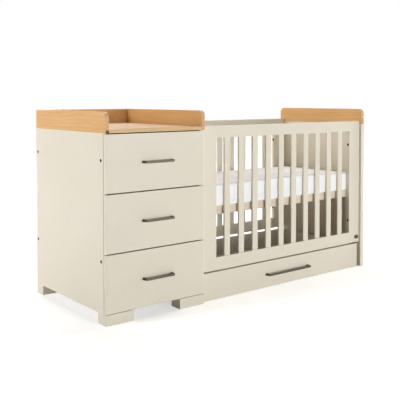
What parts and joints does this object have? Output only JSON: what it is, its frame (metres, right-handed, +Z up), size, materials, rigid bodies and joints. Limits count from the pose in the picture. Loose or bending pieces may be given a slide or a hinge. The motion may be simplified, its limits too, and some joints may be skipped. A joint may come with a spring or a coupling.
{
  "type": "crib with attached changer",
  "caption": "Slatted baby crib bolted to a chest of drawers with an oak changing tray on top, and a long drawer on castors under the crib.",
  "frame": {"origin": "on the floor, under the middle of the bounding box, handles included", "axes": "+X along the front from the chest to the end panel, +Y from the front to the back, +Z up"},
  "size_m": [1.8, 0.73, 0.955],
  "materials": {
    "painted_board": "satin paint, warm stone grey",
    "oak": "clear matt lacquer over oak",
    "raw_board": "smooth pale coated board",
    "pine": "sanded, unfinished",
    "zinc_steel": "zinc plated",
    "black_steel": "black oxide",
    "dark_pewter": "dark pewter, satin",
    "castor_tread": "matt",
    "mattress_cloth": "white knitted cloth"
  },
  "bodies": {
    "frame": {"chest_left_side": "painted_board", "chest_right_side": "painted_board", "front_feet": "painted_board", "rear_feet": "painted_board", "crib_front_top_rail": "painted_board", "crib_front_bottom_rail": "painted_board", "crib_front_stiles": "painted_board", "crib_front_slats": "painted_board", "crib_rear_top_rail": "painted_board", "crib_rear_bottom_rail": "painted_board", "crib_rear_stiles": "painted_board", "crib_rear_slats": "painted_board", "end_panel": "painted_board", "changer_left_side": "oak", "changer_right_side": "oak", "changer_back": "oak", "changer_base": "oak", "end_panel_cap": "oak", "chest_back": "raw_board", "chest_bottom": "raw_board", "chest_top_rails": "raw_board", "mattress_base_frame": "pine", "mattress_base_slats": "pine", "wood_dowels": "pine", "drawer_slide_channels": "zinc_steel", "changer_screws": "zinc_steel", "mattress_base_brackets": "zinc_steel", "crib_bolts": "black_steel", "threaded_inserts": "black_steel", "stile_button": "dark_pewter", "mattress": "mattress_cloth"},
    "bottom_drawer": {"bottom_drawer_front": "painted_board", "bottom_drawer_sides": "raw_board", "bottom_drawer_back": "raw_board", "bottom_drawer_floor": "raw_board", "bottom_drawer_handle": "dark_pewter", "bottom_drawer_runners": "zinc_steel"},
    "middle_drawer": {"middle_drawer_front": "painted_board", "middle_drawer_sides": "raw_board", "middle_drawer_back": "raw_board", "middle_drawer_floor": "raw_board", "middle_drawer_handle": "dark_pewter", "middle_drawer_runners": "zinc_steel"},
    "top_drawer": {"top_drawer_front": "painted_board", "top_drawer_sides": "raw_board", "top_drawer_back": "raw_board", "top_drawer_floor": "raw_board", "top_drawer_handle": "dark_pewter", "top_drawer_runners": "zinc_steel"},
    "long_drawer": {"long_drawer_front": "painted_board", "long_drawer_sides": "raw_board", "long_drawer_back": "raw_board", "long_drawer_floor": "raw_board", "long_drawer_handle": "dark_pewter", "castor_forks": "zinc_steel", "castor_axles": "zinc_steel"},
    "castor_front_left": {"castor_wheel_front_left": "castor_tread"},
    "castor_front_right": {"castor_wheel_front_right": "castor_tread"},
    "castor_rear_left": {"castor_wheel_rear_left": "castor_tread"},
    "castor_rear_right": {"castor_wheel_rear_right": "castor_tread"}
  },
  "joints": [
    {"name": "bottom_drawer_slide", "type": "slide", "parent": "frame", "child": "bottom_drawer", "axis": [0, -1, 0], "range_m": [0, 0.4]},
    {"name": "middle_drawer_slide", "type": "slide", "parent": "frame", "child": "middle_drawer", "axis": [0, -1, 0], "range_m": [0, 0.4]},
    {"name": "top_drawer_slide", "type": "slide", "parent": "frame", "child": "top_drawer", "axis": [0, -1, 0], "range_m": [0, 0.4]},
    {"name": "long_drawer_slide", "type": "slide", "parent": "frame", "child": "long_drawer", "axis": [0, -1, 0], "range_m": [0, 0.6]},
    {"name": "castor_front_left_spin", "type": "hinge", "parent": "long_drawer", "child": "castor_front_left", "pos_m": [-0.25, -0.239, 0.015], "axis": [1, 0, 0], "continuous": true},
    {"name": "castor_front_right_spin", "type": "hinge", "parent": "long_drawer", "child": "castor_front_right", "pos_m": [0.771, -0.239, 0.015], "axis": [1, 0, 0], "continuous": true},
    {"name": "castor_rear_left_spin", "type": "hinge", "parent": "long_drawer", "child": "castor_rear_left", "pos_m": [-0.25, 0.25, 0.015], "axis": [1, 0, 0], "continuous": true},
    {"name": "castor_rear_right_spin", "type": "hinge", "parent": "long_drawer", "child": "castor_rear_right", "pos_m": [0.771, 0.25, 0.015], "axis": [1, 0, 0], "continuous": true}
  ],
  "couplings": [
    {"joint": "castor_front_left_spin", "follows": "long_drawer_slide", "rad_per_m": 66.667},
    {"joint": "castor_front_right_spin", "follows": "long_drawer_slide", "rad_per_m": 66.667},
    {"joint": "castor_rear_left_spin", "follows": "long_drawer_slide", "rad_per_m": 66.667},
    {"joint": "castor_rear_right_spin", "follows": "long_drawer_slide", "rad_per_m": 66.667}
  ]
}
